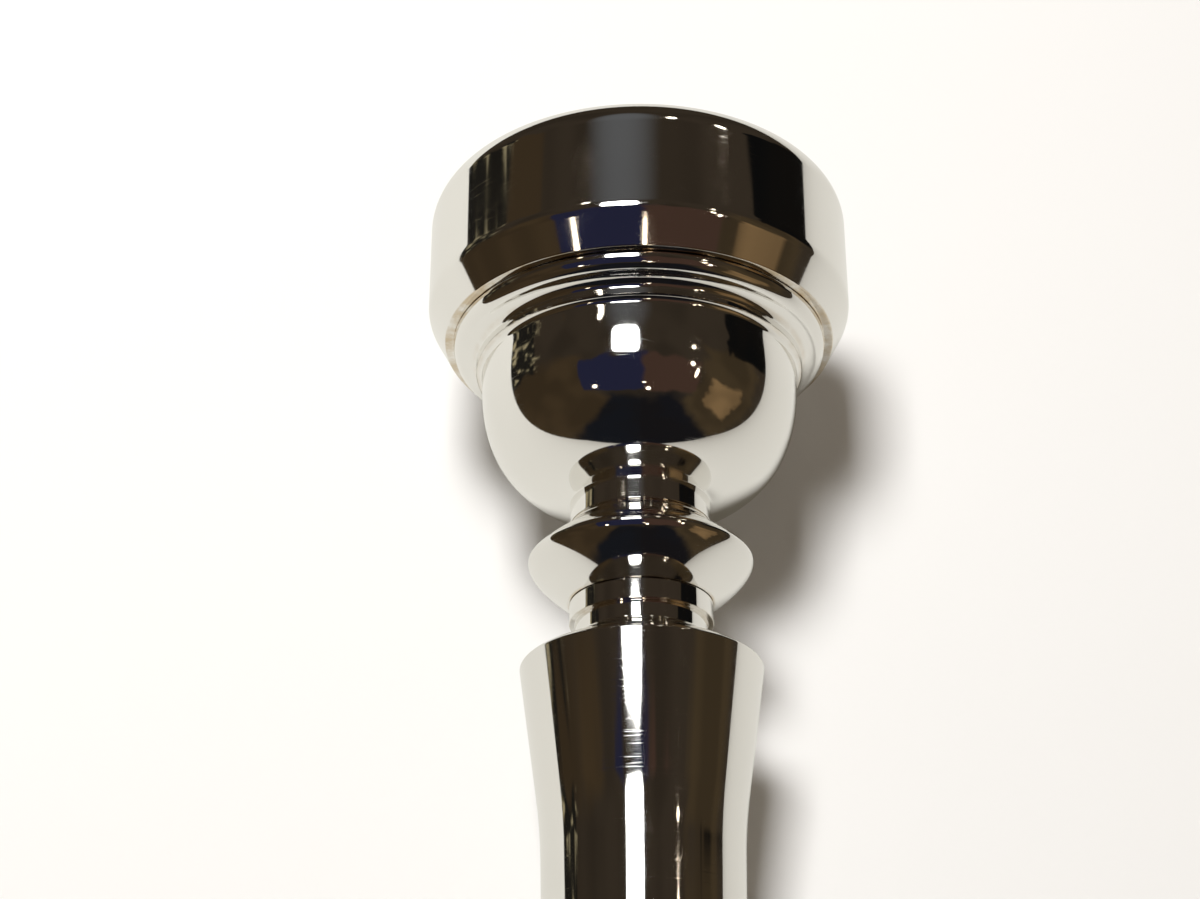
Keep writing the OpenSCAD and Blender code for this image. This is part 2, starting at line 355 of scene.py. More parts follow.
def turned(name, points, edge_round):
    """Solid of revolution with the given half section, its crisp corners rounded first."""
    outline = with_support(without_repeats(points), SUPPORT * edge_round)
    corners = [index for index, here in enumerate(outline)
               if turn_at(outline[index - 1], here, outline[(index + 1) % len(outline)]) > CRISP_TURN]
    piece = drawn_chain(name, outline)
    select_only(piece.data, vertices=corners)
    bpy.ops.object.mode_set(mode="EDIT")
    bpy.ops.mesh.bevel(affect="VERTICES", offset=edge_round, segments=CRISP_SEGMENTS)
    bpy.ops.mesh.select_all(action="SELECT")
    bpy.ops.mesh.spin(steps=SPIN_STEPS, angle=math.tau, center=(0, 0, 0), axis=(0, 1, 0))
    bpy.ops.mesh.select_all(action="SELECT")
    bpy.ops.mesh.remove_doubles(threshold=MERGE_GAP)
    bpy.ops.mesh.normals_make_consistent(inside=False)
    bpy.ops.object.mode_set(mode="OBJECT")
    return piece


def tooth(phase):
    """Height of a thread's tooth, 0 at the root and 1 at the crest, over one pitch."""
    crest, root = 0.11, 0.39
    part = (root - abs(phase - 0.5)) / (root - crest)
    part = min(max(part, 0), 1)
    return part * part * (3 - 2 * part)


def raise_thread(piece, foot, top, wall_r, tooth_h, pitch):
    """Raises a right-hand thread on the wall between two heights: outwards, or inwards for a
    negative tooth, which then fills the gaps that the outward teeth leave."""
    for vertex in piece.data.vertices:
        x, y, z = vertex.co
        radius = math.hypot(x, z)
        if not foot < y < top or abs(radius - wall_r) > TOUCH:
            continue
        phase = (y / pitch - math.atan2(x, z) / math.tau) % 1
        fade = min((y - foot) / pitch, (top - y) / pitch, 1)
        crest = tooth(phase) if tooth_h > 0 else 1 - tooth(phase)
        grown = (wall_r + tooth_h * crest * fade) / radius
        vertex.co.x = x * grown
        vertex.co.z = z * grown


def smooth_shading(piece, rounded):
    """Smooth shading that keeps crisp corners, and that rounds the faces for which rounded is true."""
    deselect_all()
    piece.select_set(True)
    bpy.context.view_layer.objects.active = piece
    bpy.ops.object.shade_smooth_by_angle(angle=SMOOTH_ANGLE)
    faces = [face.index for face in piece.data.polygons if rounded(*radius_and_height(face))]
    bpy.ops.object.mode_set(mode="EDIT")
    bpy.ops.mesh.select_mode(type="FACE")
    bpy.ops.object.mode_set(mode="OBJECT")
    select_only(piece.data, faces=faces)
    bpy.ops.object.mode_set(mode="EDIT")
    bpy.ops.mesh.mark_sharp(clear=True)
    bpy.ops.mesh.select_mode(type="VERT")
    bpy.ops.object.mode_set(mode="OBJECT")


def radius_and_height(face):
    """Distance of a face's middle from the axis, and its height along it."""
    return math.hypot(face.center.x, face.center.z), face.center.y


def finish_faces(piece, materials, choose):
    """Gives each face the material whose number choose(radius, height) returns."""
    for material in materials:
        piece.data.materials.append(material)
    for face in piece.data.polygons:
        face.material_index = choose(*radius_and_height(face))


def put_in_place(piece, body, node):
    """The piece stands for a node of the frame and moves with its body."""
    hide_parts(node)
    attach(piece, body)


# Shader maths

class Wire:
    """A shader socket. Arithmetic on wires adds Math nodes to their tree."""

    def __init__(self, tree, socket=None):
        self.tree = tree
        self.socket = socket

    def node(self, kind, settings=None, inputs=None, output=0):
        """Adds a node, makes its settings, sets or links its sockets, and returns one of its outputs."""
        made = self.tree.nodes.new(kind)
        for name, value in (settings or {}).items():
            setattr(made, name, value)
        for key, value in (inputs or {}).items():
            if isinstance(value, Wire):
                self.tree.links.new(value.socket, made.inputs[key])
            else:
                made.inputs[key].default_value = value
        return Wire(self.tree, made.outputs[output])

    def math(self, operation, *values):
        """Result of a Math node."""
        return self.node("ShaderNodeMath", {"operation": operation}, dict(enumerate(values)))

    def __add__(self, other):
        return self.math("ADD", self, other)

    def __radd__(self, other):
        return self.math("ADD", other, self)

    def __sub__(self, other):
        return self.math("SUBTRACT", self, other)

    def __mul__(self, other):
        return self.math("MULTIPLY", self, other)

    def __truediv__(self, other):
        return self.math("DIVIDE", self, other)

    def __abs__(self):
        return self.math("ABSOLUTE", self)

    def parts(self):
        """The three numbers of a vector."""
        return [self.node("ShaderNodeSeparateXYZ", inputs={0: self}, output=axis) for axis in range(3)]

    def vector(self, x, y, z):
        """Vector of three numbers."""
        return self.node("ShaderNodeCombineXYZ", inputs={0: x, 1: y, 2: z})

    def rising(self, low, high):
        """0 below low, 1 above high, smooth in between. Falls instead where low is above high."""
        return self.node("ShaderNodeMapRange", {"interpolation_type": "SMOOTHSTEP"},
                         {0: self, 1: low, 2: high})

    def within(self, low, high, soft):
        """1 between low and high, fading to 0 outside over the width soft."""
        return self.rising(low - soft, low) * self.rising(high + soft, high)

    def off_middle(self, low, high):
        """0 in the middle between low and high, and 1 at both of them."""
        return abs(self - (low + high) / 2) / ((high - low) / 2)

    def power(self, exponent):
        """The number raised to a power."""
        return self.math("POWER", self, exponent)

    def noise(self, spot, scale, detail=2.0, roughness=0.5):
        """Smooth noise around 0.5."""
        return self.node("ShaderNodeTexNoise", inputs={
            "Vector": spot, "Scale": scale, "Detail": detail, "Roughness": roughness})

    def mixed(self, factor, first, second):
        """Colour that goes from first to second as the factor goes from 0 to 1."""
        return self.node("ShaderNodeMix", {"data_type": "RGBA"}, {0: factor, 6: first, 7: second},
                         output=2)

    def into(self, shader, name):
        """Links the wire to a shader's socket."""
        self.tree.links.new(self.socket, shader.inputs[name])


def opaque(rgb):
    """Colour with full alpha."""
    return (*rgb, 1.0)


def new_material(name):
    """Material, its shader, and a wire for its node tree."""
    material = bpy.data.materials.new(name)
    material.use_nodes = True
    return material, material.node_tree.nodes["Principled BSDF"], Wire(material.node_tree)


def bend_normal(shader, height, distance, strength=1.0):
    """Bends a shader's normal by a height, of which 1 stands for the given distance."""
    height.node("ShaderNodeBump", inputs={
        "Strength": strength, "Distance": distance, "Height": height}).into(shader, "Normal")


def millimetres(wire):
    """Object coordinates in millimetres as three numbers."""
    return [part / MM for part in wire.node("ShaderNodeTexCoord", output="Object").parts()]


# Depth, in millimetres, of polishing lines, hairlines, reamer marks, thread marks and rubber grain
RING_DEPTH = 0.0006
HAIR_DEPTH = 0.0002
REAMED_DEPTH = 0.002
DRAWN_DEPTH = 0.0012
GRAIN_DEPTH = 0.004


def polished_silver(settings):
    """Mirror-polished silver plate with the fine lines of the lathe, wiping marks and tarnish."""
    finish = settings.finish
    material, shader, wire = new_material("polished_silver")
    x, y, z = millimetres(wire)
    spread = x * x + z * z
    across = y + spread.math("SQRT", spread)
    spot = wire.vector(x, y, z)

    # Lines round the axis left by polishing on the lathe, which smear highlights along the axis
    rings = wire.noise(wire.vector(x * 0.25, across * 18, z * 0.25), 1.0, 2.0).rising(0.60, 0.90)
    # Hairlines from wiping, slanted both ways, in patches
    slant = wire.noise(wire.vector((x + y * 0.7) * 0.35, (y - x * 0.7) * 5, z * 0.3), 1.0, 2.0)
    counter = wire.noise(wire.vector((x - y * 0.9) * 0.3, (y + x * 0.9) * 4, z * 0.3 + 7), 1.0, 2.0)
    worn = wire.noise(spot, 0.16, 2.0).rising(0.42, 0.68)
    hairs = (slant.rising(0.66, 0.72) + counter.rising(0.67, 0.73)) * worn
    bend_normal(shader, rings * -RING_DEPTH + hairs * -HAIR_DEPTH, MM)

    # Smudges left by fingers and cloth
    smudge = wire.noise(spot, 0.3, 4.0, 0.6).rising(0.45, 0.75)
    (finish.gloss + smudge * 0.04 + hairs * 0.06 + rings * 0.12).into(shader, "Roughness")

    # Tarnish that the cloth doesn't reach, in seams, coves and lines: height, reach in mm, strength
    cup, levels = settings.cup, Levels(settings)
    crevices = (
        (levels.rim_foot - settings.joints.seam / 2, 0.14, 0.9),
        (levels.ridge_foot - cup.cove_h / 2, 0.2, 0.35),
        (levels.line_bead_foot, 0.12, 0.3),
        (levels.neck_flare_top + cup.line_h / 2, 0.1, 0.7),
        (levels.cup_foot - settings.joints.seam / 2, 0.12, 0.8),
        (levels.stem_collar_foot, 0.08, 0.5),
    )
    patchy = wire.noise(spot, 0.55, 4.0, 0.65).rising(0.3, 0.65)
    tarnish = 0.0
    for level, reach, strength in crevices:
        tarnish = abs(y - level / MM).rising(reach, reach * 0.25) * strength + tarnish
    tint = wire.noise(spot, 0.12, 2.0).rising(0.3, 0.7)
    clean = wire.mixed(tint, opaque(finish.silver), opaque([part * 0.975 for part in finish.silver]))
    wire.mixed(tarnish * patchy, clean, opaque(finish.tarnish)).into(shader, "Base Color")
    shader.inputs["Metallic"].default_value = 1.0
    return material


def reamed_silver(settings):
    """Plate in the bores, duller, with the rings that a reamer leaves."""
    finish = settings.finish
    material, shader, wire = new_material("reamed_silver")
    x, y, z = millimetres(wire)
    rings = wire.noise(wire.vector(x * 0.4, y * 7, z * 0.4), 1.0, 3.0, 0.65)
    stain = wire.noise(wire.vector(x, y * 0.4, z), 0.5, 4.0, 0.6).rising(0.4, 0.75)
    bend_normal(shader, rings, REAMED_DEPTH * MM)
    (finish.bore_gloss + stain * 0.15 + rings * 0.06).into(shader, "Roughness")
    dull = [part * 0.8 for part in finish.silver]
    wire.mixed(stain * 0.45, opaque(dull), opaque(finish.tarnish)).into(shader, "Base Color")
    shader.inputs["Metallic"].default_value = 1.0
    return material


def threaded_silver(settings):
    """Plate on the threads and seal seats: satin, with patches of grease and tarnish."""
    finish = settings.finish
    material, shader, wire = new_material("threaded_silver")
    x, y, z = millimetres(wire)
    grease = wire.noise(wire.vector(x, y, z), 0.8, 4.0, 0.6).rising(0.4, 0.72)
    drawn = wire.noise(wire.vector(x * 0.6, y * 16, z * 0.6), 1.0, 2.0)
    bend_normal(shader, drawn, DRAWN_DEPTH * MM)
    (0.16 + grease * 0.2 + drawn * 0.05).into(shader, "Roughness")
    dull = [part * 0.86 for part in finish.silver]
    wire.mixed(grease * 0.5, opaque(dull), opaque(finish.tarnish)).into(shader, "Base Color")
    shader.inputs["Metallic"].default_value = 1.0
    return material


def seal_rubber(settings):
    """Black nitrile with a fine moulded grain, a bloom and a film of grease."""
    finish = settings.finish
    material, shader, wire = new_material("seal_rubber")
    spot = wire.vector(*millimetres(wire))
    grain = wire.noise(spot, 22.0, 3.0, 0.6)
    bloom = wire.noise(spot, 0.9, 4.0, 0.6).rising(0.45, 0.8)
    bend_normal(shader, grain, GRAIN_DEPTH * MM, 0.6)
    (0.42 + grain * 0.15 + bloom * 0.12).into(shader, "Roughness")
    pale = [part * 3 + 0.01 for part in finish.rubber]
    wire.mixed(bloom * 0.5, opaque(finish.rubber), opaque(pale)).into(shader, "Base Color")
    return material


def finished(make, settings):
    """The material that a function makes, made once."""
    return bpy.data.materials.get(make.__name__) or make(settings)


def metal_finishes(settings):
    """Polished, reamed and threaded plate, in the order that the faces number them."""
    return [finished(make, settings) for make in (polished_silver, reamed_silver, threaded_silver)]


POLISHED, REAMED, THREADED = range(3)
# Share of the cup floor's radius inside which the reamed throat starts
THROAT_SHARE = 0.75


class Levels:
    """Heights along the axis, worked out from the frame and the sizes, and radii that two pieces share."""

    def __init__(self, settings):
        rim, cup, stem, joints = settings.rim, settings.cup, settings.stem, settings.joints
        self.rim_foot = RIM_LOW.y
        self.rim_top = RIM_HIGH.y
        self.rim_face_top = self.rim_top - rim.edge_h
        self.rim_face_foot = self.rim_face_top - rim.face_h
        self.rim_seat = CUP_HIGH.y
        self.cup_shoulder = self.rim_foot - joints.seam
        self.rim_groove_top = self.cup_shoulder + joints.rim_groove_h
        self.rim_chamber_top = self.rim_groove_top + joints.chamber_more
        self.ridge_foot = self.cup_shoulder - cup.ridge_h
        self.line_bead_top = self.ridge_foot - cup.cove_h
        self.line_bead_foot = self.line_bead_top - cup.line_bead_h
        self.wall_top = self.line_bead_foot - cup.wall_cove_h
        self.bowl_top = self.wall_top - cup.wall_h
        self.bowl = bowl((cup.wall_d / 2, self.bowl_top), cup.collar_d / 2, cup.bowl_h, cup.bowl_power)
        self.neck_collar_foot = self.bowl[-1][1] - cup.collar_h
        self.neck_flare_top = self.neck_collar_foot - cup.line_h
        self.bead = self.neck_flare_top - cup.flare_h
        self.bead_round_foot = self.bead - cup.bead_round_h
        self.cup_foot = CUP_LOW.y
        self.stem_seat = STEM_HIGH.y
        self.stem_top = self.cup_foot - joints.seam
        self.stem_groove_top = self.stem_top + joints.stem_groove_h
        self.stem_chamber_top = self.stem_groove_top + joints.chamber_more
        self.stem_collar_foot = self.stem_top - stem.collar_h
        self.stem_neck_foot = self.stem_collar_foot - stem.neck_h
        self.shoulder = self.stem_neck_foot - stem.flare_h
        self.body_foot = self.shoulder - stem.body_h
        self.shank_top = self.body_foot - stem.blend_h
        self.stem_end = STEM_LOW.y
        self.cup_floor = self.rim_top - cup.depth
        self.throat_top = self.cup_floor - cup.entry_h
        self.throat_foot = self.stem_seat - stem.throat_tail_h
        self.throat_r = cup.throat_d / 2
        self.cup_mouth_r = rim.bite_d / 2 - cup.draft
        self.rim_socket_r = joints.rim_thread_d / 2 + joints.clear
        self.stem_socket_r = joints.stem_thread_d / 2 + joints.clear


class MOUTHPIECE_OT_rim(bpy.types.Operator):
    """Turns the rim, with its crowned lip face and its threaded socket"""
    bl_idname = "mouthpiece.rim"
    bl_label = "Rim"

    def execute(self, context):
        settings = context.scene.mouthpiece
        rim, joints, levels = settings.rim, settings.joints, Levels(settings)
        crown = (rim.crown_d / 2, levels.rim_top)
        corner = (rim.outside_d / 2, levels.rim_face_foot)
        skirt_edge = (rim.skirt_d / 2, levels.rim_foot)
        fillet_end = between(corner, skirt_edge, rim.skirt_round / math.dist(corner, skirt_edge))
        socket_foot = (levels.rim_socket_r, levels.rim_chamber_top)
        socket_end = (levels.rim_socket_r, levels.rim_seat)
        chamber_r = joints.rim_chamber_d / 2
        piece = turned("rim_turned", [
            (levels.cup_mouth_r, levels.rim_seat),
            *round_in((rim.bite_d / 2, levels.rim_top - rim.bite_h), crown),
            *round_out(crown, (corner[0], levels.rim_face_top)),
            *fair((corner[0], corner[1] + rim.skirt_round), corner, fillet_end),
            skirt_edge, (chamber_r, levels.rim_foot), (chamber_r, levels.rim_chamber_top),
            *threaded(socket_foot, socket_end, joints.rim_pitch),
        ], settings.finish.edge_round)
        raise_thread(piece, levels.rim_chamber_top, levels.rim_seat, levels.rim_socket_r,
                     -joints.rim_tooth, joints.rim_pitch)

        def in_socket(radius, height):
            return levels.cup_mouth_r + CLOSE < radius < chamber_r + TOUCH and \
                levels.rim_foot + NEAR < height < levels.rim_seat + TOUCH

        smooth_shading(piece, in_socket)
        finish_faces(piece, metal_finishes(settings),
                     lambda radius, height: THREADED if in_socket(radius, height) else POLISHED)
        put_in_place(piece, "rim", "rim")
        return {"FINISHED"}


class MOUTHPIECE_OT_cup(bpy.types.Operator):
    """Turns the cup, with its threaded spigot, ridge, bowl, neck and bead"""
    bl_idname = "mouthpiece.cup"
    bl_label = "Cup"

    def execute(self, context):
        settings = context.scene.mouthpiece
        cup, joints, levels = settings.cup, settings.joints, Levels(settings)
        spigot_r = joints.rim_thread_d / 2 - joints.rim_tooth
        groove_r = joints.rim_groove_d / 2
        ridge_low = (cup.ridge_low_d / 2, levels.ridge_foot)
        collar_r = cup.collar_d / 2
        line_r = collar_r - cup.line_depth
        bead = (cup.bead_d / 2, levels.bead)
        chamber_r = joints.stem_chamber_d / 2
        floor_edge = (cup.floor_d / 2, levels.cup_floor)
        piece = turned("cup_turned", [
            (spigot_r - joints.lead / 2, levels.rim_seat),
            *threaded((spigot_r, levels.rim_seat - joints.lead), (spigot_r, levels.rim_groove_top),
                      joints.rim_pitch),
            (groove_r, levels.rim_groove_top), (groove_r, levels.cup_shoulder),
            *round_in((cup.ridge_d / 2, levels.cup_shoulder), ridge_low),
            *round_out(ridge_low, (cup.line_bead_d / 2, levels.line_bead_top)),
            *round_out((cup.line_bead_d / 2, levels.line_bead_foot), (cup.wall_d / 2, levels.wall_top)),
            *levels.bowl,
            (collar_r, levels.neck_collar_foot), (line_r, levels.neck_collar_foot),
            (line_r, levels.neck_flare_top),
            *flare((collar_r, levels.neck_flare_top), bead),
            *fair(bead, (bead[0], levels.bead_round_foot), (cup.bead_foot_d / 2, levels.cup_foot)),
            (chamber_r, levels.cup_foot), (chamber_r, levels.stem_chamber_top),
            *threaded((levels.stem_socket_r, levels.stem_chamber_top),
                      (levels.stem_socket_r, levels.stem_seat), joints.stem_pitch),
            (levels.throat_r, levels.stem_seat),
            *round_in((levels.throat_r, levels.throat_top), floor_edge),
            *round_out(floor_edge, (levels.cup_mouth_r, levels.rim_seat)),
        ], settings.finish.edge_round)
        raise_thread(piece, levels.rim_groove_top, levels.rim_seat - joints.lead, spigot_r,
                     joints.rim_tooth, joints.rim_pitch)
        raise_thread(piece, levels.stem_chamber_top, levels.stem_seat, levels.stem_socket_r,
                     -joints.stem_tooth, joints.stem_pitch)

        def in_joint(radius, height):
            on_spigot = height > levels.cup_shoulder + TOUCH and radius > levels.cup_mouth_r + CLOSE
            in_socket = levels.cup_foot + NEAR < height < levels.stem_seat + TOUCH and \
                radius < chamber_r + TOUCH
            return on_spigot or in_socket

        def choose(radius, height):
            if in_joint(radius, height):
                return THREADED
            in_throat = radius < floor_edge[0] * THROAT_SHARE and height < levels.cup_floor
            return REAMED if in_throat else POLISHED

        smooth_shading(piece, in_joint)
        finish_faces(piece, metal_finishes(settings), choose)
        put_in_place(piece, "cup", "cup")
        return {"FINISHED"}


class MOUTHPIECE_OT_stem(bpy.types.Operator):
    """Turns the stem, with its threaded spigot, shoulder, shank and backbore"""
    bl_idname = "mouthpiece.stem"
    bl_label = "Stem"

    def execute(self, context):
        settings = context.scene.mouthpiece
        cup, stem, joints, levels = settings.cup, settings.stem, settings.joints, Levels(settings)
        spigot_r = joints.stem_thread_d / 2 - joints.stem_tooth
        groove_r = joints.stem_groove_d / 2
        collar_r = cup.collar_d / 2
        neck_r = stem.neck_d / 2
        shank_top_r = stem.shank_top_d / 2
        shank_end_r = stem.shank_end_d / 2
        slope = (shank_top_r - shank_end_r) / (levels.shank_top - levels.stem_end)
        blend_corner = (shank_top_r + slope * stem.blend_h / 2, levels.shank_top + stem.blend_h / 2)
        backbore_r = stem.backbore_d / 2
        backbore_corner = (levels.throat_r + (backbore_r - levels.throat_r) * stem.backbore_early,
                           levels.throat_foot * (1 - stem.backbore_lead))
        piece = turned("stem_turned", [
            (spigot_r - joints.lead / 2, levels.stem_seat),
            *threaded((spigot_r, levels.stem_seat - joints.lead), (spigot_r, levels.stem_groove_top),
                      joints.stem_pitch),
            (groove_r, levels.stem_groove_top), (groove_r, levels.stem_top),
            (collar_r, levels.stem_top), (collar_r, levels.stem_collar_foot),
            (neck_r, levels.stem_collar_foot),
            *flare((neck_r, levels.stem_neck_foot), (stem.shoulder_d / 2, levels.shoulder)),
            *fair((stem.body_foot_d / 2, levels.body_foot), blend_corner, (shank_top_r, levels.shank_top)),
            (shank_end_r, levels.stem_end + stem.end_break),
            (shank_end_r - stem.end_break, levels.stem_end),
            *fair((backbore_r, levels.stem_end), backbore_corner, (levels.throat_r, levels.throat_foot)),
            (levels.throat_r, levels.stem_seat),
        ], settings.finish.edge_round)
        raise_thread(piece, levels.stem_groove_top, levels.stem_seat - joints.lead, spigot_r,
                     joints.stem_tooth, joints.stem_pitch)

        def on_spigot(radius, height):
            return height > levels.stem_top + TOUCH and radius > levels.throat_r + NEAR

        def choose(radius, height):
            if on_spigot(radius, height):
                return THREADED
            bore_r = backbore_r if height < levels.shoulder else levels.throat_r + CLOSE
            return REAMED if radius < bore_r + NEAR else POLISHED

        smooth_shading(piece, on_spigot)
        finish_faces(piece, metal_finishes(settings), choose)
        put_in_place(piece, "stem", "stem")
        return {"FINISHED"}


def moulded_ring(name, node, mould_line):
    """Seal ring in a node's place, with the line that its mould leaves outside and inside."""
    low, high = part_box(node)
    thickness = high.y - low.y
    centre_r = high.x - thickness / 2
    middle = (low.y + high.y) / 2
    deselect_all()
    bpy.ops.mesh.primitive_torus_add(major_radius=centre_r, minor_radius=thickness / 2,
                                     major_segments=RING_STEPS, minor_segments=RING_SIDES,
                                     location=(0, middle, 0), rotation=(math.pi / 2, 0, 0))
    piece = bpy.context.object
    piece.name = piece.data.name = name
    bpy.ops.object.transform_apply(location=True, rotation=True)
    bpy.ops.object.mode_set(mode="EDIT")
    bpy.ops.mesh.select_mode(type="EDGE")
    bpy.ops.object.mode_set(mode="OBJECT")
    mesh = piece.data
    select_only(mesh)
    for edge in mesh.edges:
        edge.select = all(abs(mesh.vertices[end].co.y - middle) < MERGE_GAP for end in edge.vertices)
    bpy.ops.object.mode_set(mode="EDIT")
    bpy.ops.mesh.bevel(offset=MOULD_SPREAD * mould_line, segments=2, affect="EDGES")
    bpy.ops.object.mode_set(mode="OBJECT")
    select_only(mesh)
    for vertex in mesh.vertices:
        vertex.select = abs(vertex.co.y - middle) < MERGE_GAP
    bpy.ops.object.mode_set(mode="EDIT")
    bpy.ops.mesh.select_mode(type="VERT")
    bpy.ops.transform.shrink_fatten(value=mould_line)
    bpy.ops.object.mode_set(mode="OBJECT")
    bpy.ops.object.shade_smooth_by_angle(angle=SMOOTH_ANGLE)
    return piece


class MOUTHPIECE_OT_seal_rings(bpy.types.Operator):
    """Moulds the two seal rings into their grooves"""
    bl_idname = "mouthpiece.seal_rings"
    bl_label = "Seal rings"

    def execute(self, context):
        settings = context.scene.mouthpiece
        for name, node, body in (("rim_seal_ring", "rim_o_ring", "rim_ring"),
                                 ("stem_seal_ring", "stem_o_ring", "stem_ring")):
            piece = moulded_ring(name, node, settings.joints.mould_line)
            piece.data.materials.append(finished(seal_rubber, settings))
            put_in_place(piece, body, node)
        return {"FINISHED"}


# Stage: a pale table in soft light. Only the polished metal shows the dim room round it.

# A card that the metal reflects: azimuth from +Y towards +X and elevation, in degrees
Card = namedtuple("Card", "azimuth elevation soft colour")
# A cloth overhead: reach across and along, as shares of its height
Cloth = namedtuple("Cloth", "across along soft colour")
# A light panel overhead: its reach, how far its edges slant, how square its corners are, and the
# share of the way out where it starts to fade
Panel = namedtuple("Panel", "across along slant squareness core colour")
# A small lamp: azimuth and elevation, and half its width and height, in degrees
Lamp = namedtuple("Lamp", "azimuth elevation wide high colour")

CARDS = (
    Card((-180, -150), (-90, 45), 18, (0.008, 0.009, 0.012)),
    Card((150, 180), (-90, 45), 18, (0.008, 0.008, 0.010)),
    Card((-142, -84), (-12, 42), 10, (0.050, 0.033, 0.017)),
    Card((-56, -47), (12, 30), 2, (0.042, 0.028, 0.015)),
    Card((-80, -50), (-14, 10), 2, (0.012, 0.011, 0.009)),
    Card((76, 140), (4, 40), 8, (0.055, 0.038, 0.020)),
    Card((100, 126), (12, 33), 4, (0.200, 0.125, 0.058)),
    Card((49, 74), (-14, 22), 2, (0.004, 0.004, 0.004)),
)
# Glints on the shelves to the left: azimuth, elevation, softness and colour of the whole patch
SHELVES = Card((-79, -51), (-15, 11), 2, (0.38, 0.32, 0.19))
# Cloths overhead
CLOTHS = (
    Cloth((-0.95, 0.06), (-0.55, 0.05), 0.05, (0.016, 0.017, 0.040)),
    Cloth((0.06, 0.9), (-0.60, 0.00), 0.08, (0.055, 0.031, 0.022)),
)
# Dim glow beyond the ceiling panel, and the panel itself
PANELS = (
    Panel((-0.61, 0.27), (0.18, 2.12), 0.0, 2, 0.0, (0.105, 0.108, 0.113)),
    Panel((-0.36, -0.01), (0.066, 0.43), 0.08, 5, 0.8, (8.0, 8.0, 8.0)),
)
LAMPS = (
    Lamp(18, 41.0, 3.0, 3.0, (12.0, 10.8, 9.0)),
    Lamp(42, 32.0, 4.0, 1.9, (12.0, 10.8, 9.0)),
    Lamp(-40, 50.0, 4.0, 1.6, (12.0, 10.8, 9.0)),
    Lamp(174, 66.2, 3.0, 0.35, (12.0, 10.2, 7.8)),
    Lamp(102, 48.8, 7.0, 0.8, (12.0, 10.2, 7.8)),
    Lamp(91.3, 53.3, 2.4, 1.6, (12.0, 10.2, 7.8)),
    Lamp(70.6, 51.4, 2.0, 1.2, (12.0, 10.2, 7.8)),
    Lamp(169.5, 59.9, 3.0, 1.5, (12.0, 10.2, 7.8)),
    Lamp(-125.4, 49.2, 2.4, 1.5, (12.0, 10.2, 7.8)),
)
# How far the outlines of cards and cloths wander, in degrees and as a share of the height
CARD_WANDER = 20
CLOTH_WANDER = 0.25

# Reach of the table each way, and of the part of it that the metal shows, a copy painted darker as painted
# shade, which lies a little higher
TABLE_REACH = 4
MIRRORED_ACROSS = (-0.10, 0.16)
MIRRORED_ALONG = (-0.12, 0.30)
MIRRORED_LIFT = 0.02 * MM
# Range of distances that the camera shows
NEAREST, FARTHEST = 1 * MM, 20


def dim_room(wire, base):
    """Colour of the room in each direction, as the polished metal shows it."""
    direction = wire.node("ShaderNodeTexCoord", output="Generated")
    x, y, z = direction.parts()
    azimuth = x.math("ARCTAN2", x, y) * math.degrees(1)
    elevation = z.math("ARCSINE", z) * math.degrees(1)
    above = z.math("MAXIMUM", z, 0.02)
    across, along = x / above, y / above
    overhead = z.rising(0.0, 0.05)
    sway = wire.noise(direction, 3.0) - 0.5
    heave = wire.noise(direction, 4.5) - 0.5
    turned_to, raised_to = azimuth + sway * CARD_WANDER, elevation + heave * CARD_WANDER

    def patch(card):
        return turned_to.within(*card.azimuth, card.soft) * raised_to.within(*card.elevation, card.soft)

    seen = opaque(base)
    for card in CARDS:
        seen = wire.mixed(patch(card), seen, opaque(card.colour))
    clutter = wire.noise(wire.vector(azimuth * 0.35, elevation * 0.16, 0.0), 1.0, 2.0).rising(0.52, 0.66)
    seen = wire.mixed(patch(SHELVES) * clutter, seen, opaque(SHELVES.colour))
    shade = wire.noise(direction, 2.5, 1.0).rising(0.40, 0.65)
    seen = wire.mixed(shade * 0.3, seen, opaque([part * 0.25 for part in base]))
    for cloth in CLOTHS:
        mask = (across + sway * CLOTH_WANDER).within(*cloth.across, cloth.soft) * \
            (along + heave * CLOTH_WANDER).within(*cloth.along, cloth.soft)
        seen = wire.mixed(mask * overhead, seen, opaque(cloth.colour))
    for panel in PANELS:
        sideways = across.off_middle(*panel.across)
        onwards = (along + across * panel.slant).off_middle(*panel.along)
        apart = sideways.power(panel.squareness) + onwards.power(panel.squareness)
        seen = wire.mixed(apart.rising(1.0, panel.core) * overhead, seen, opaque(panel.colour))
    for lamp in LAMPS:
        sideways = (azimuth - lamp.azimuth) / lamp.wide
        upwards = (elevation - lamp.elevation) / lamp.high
        apart = sideways * sideways + upwards * upwards
        seen = wire.mixed(apart.rising(1.0, 0.4), seen, opaque(lamp.colour))
    return seen


def light_the_room(scene, stage):
    """World that is pale to the camera, soft to the table and dim to the polished metal."""
    world = bpy.data.worlds.new("studio")
    scene.world = world
    world.use_nodes = True
    tree = world.node_tree
    wire = Wire(tree)
    glossy = wire.node("ShaderNodeLightPath", output="Is Glossy Ray")
    camera = wire.node("ShaderNodeLightPath", output="Is Camera Ray")
    seen = wire.mixed(glossy, opaque(stage.ambient), dim_room(wire, stage.room))
    seen = wire.mixed(camera, seen, opaque(stage.backdrop))
    seen.into(tree.nodes["Background"], "Color")


def ceiling_panel(stage):
    """Area light that shines straight down. The metal shows the panel of the room in its place."""
    deselect_all()
    bpy.ops.object.light_add(type="AREA", location=stage.panel_place)
    light = bpy.context.object
    light.name = "ceiling_panel"
    light.data.shape = "RECTANGLE"
    light.data.size = stage.panel_wide
    light.data.size_y = stage.panel_long
    light.data.energy = stage.panel_power
    light.visible_glossy = False


